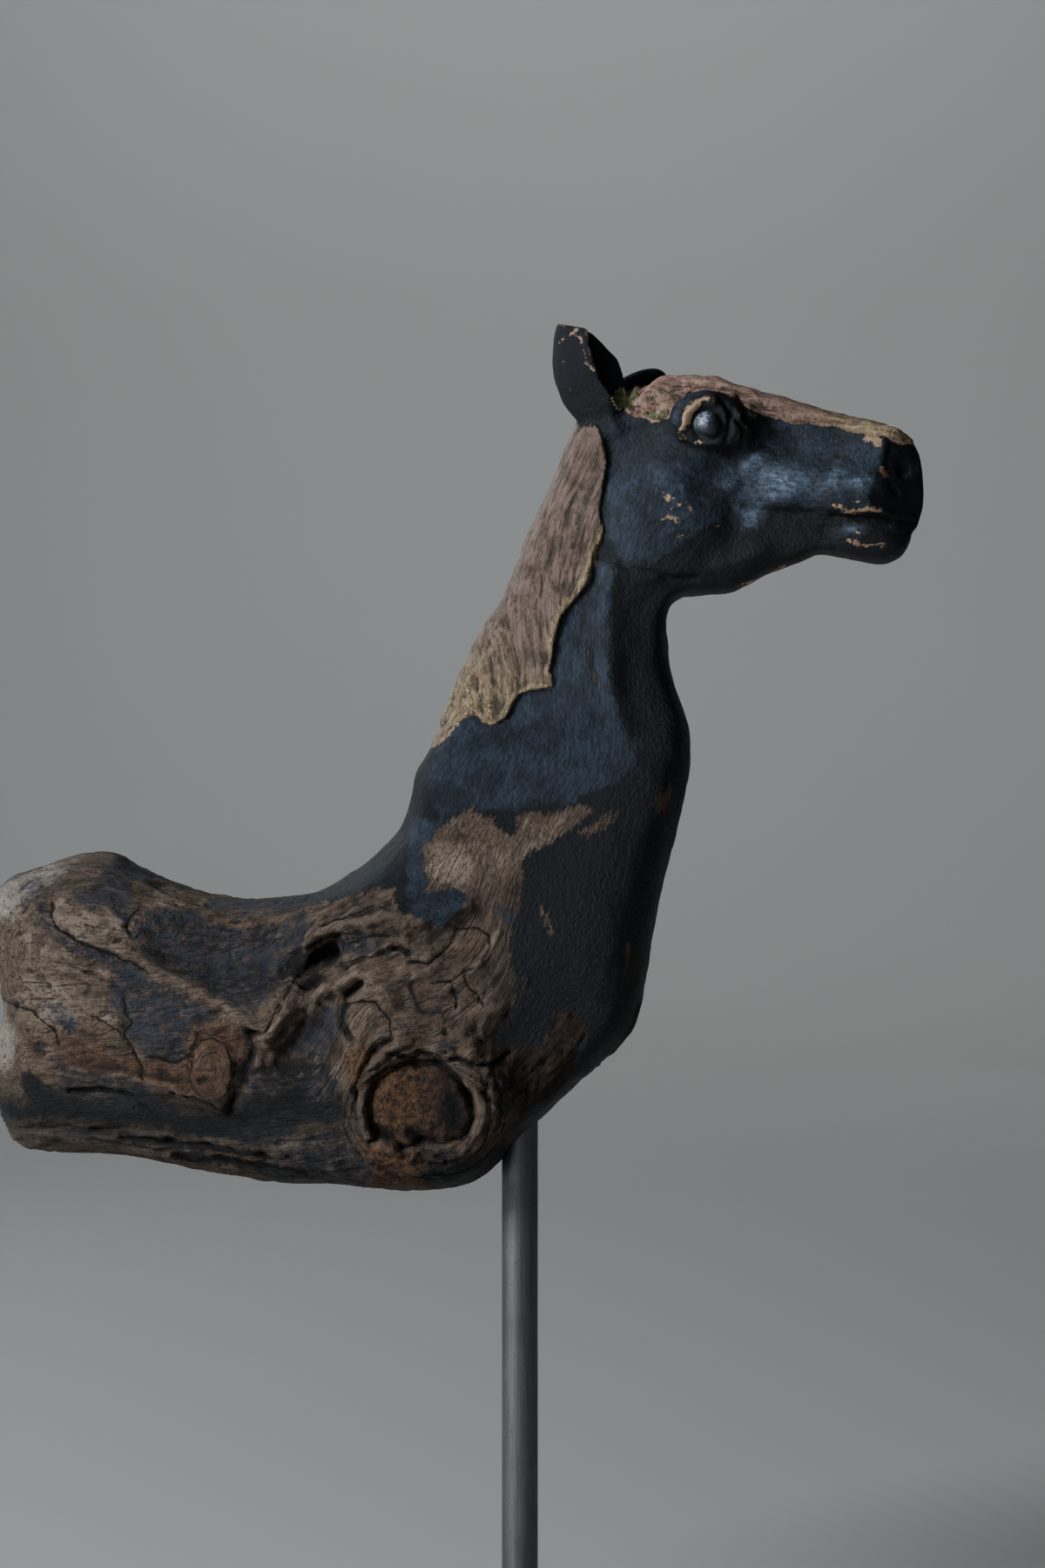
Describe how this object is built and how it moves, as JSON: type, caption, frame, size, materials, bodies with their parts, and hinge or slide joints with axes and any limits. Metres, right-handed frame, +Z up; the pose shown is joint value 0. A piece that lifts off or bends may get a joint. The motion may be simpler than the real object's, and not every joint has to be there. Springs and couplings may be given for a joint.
{
  "type": "driftwood horse sculpture on a stand",
  "caption": "Horse's head, neck and breast carved from the end of a driftwood log, painted black, held up by a steel rod on a flat steel plate.",
  "frame": {"origin": "centre of the base plate's underside, on the rod's axis", "axes": "+Z up along the rod, +X the way the horse looks, -Y its near side"},
  "size_m": [0.3105, 0.16, 0.4635],
  "materials": {
    "painted_driftwood": "worn black paint over copper and gold on the carving, bare weathered wood on the log",
    "rod_steel": "dark mill steel with small rust pits",
    "plate_steel": "dark mill steel, waxed"
  },
  "bodies": {
    "root": {"driftwood_horse": "painted_driftwood", "support_rod": "rod_steel", "base_plate": "plate_steel"}
  },
  "joints": []
}
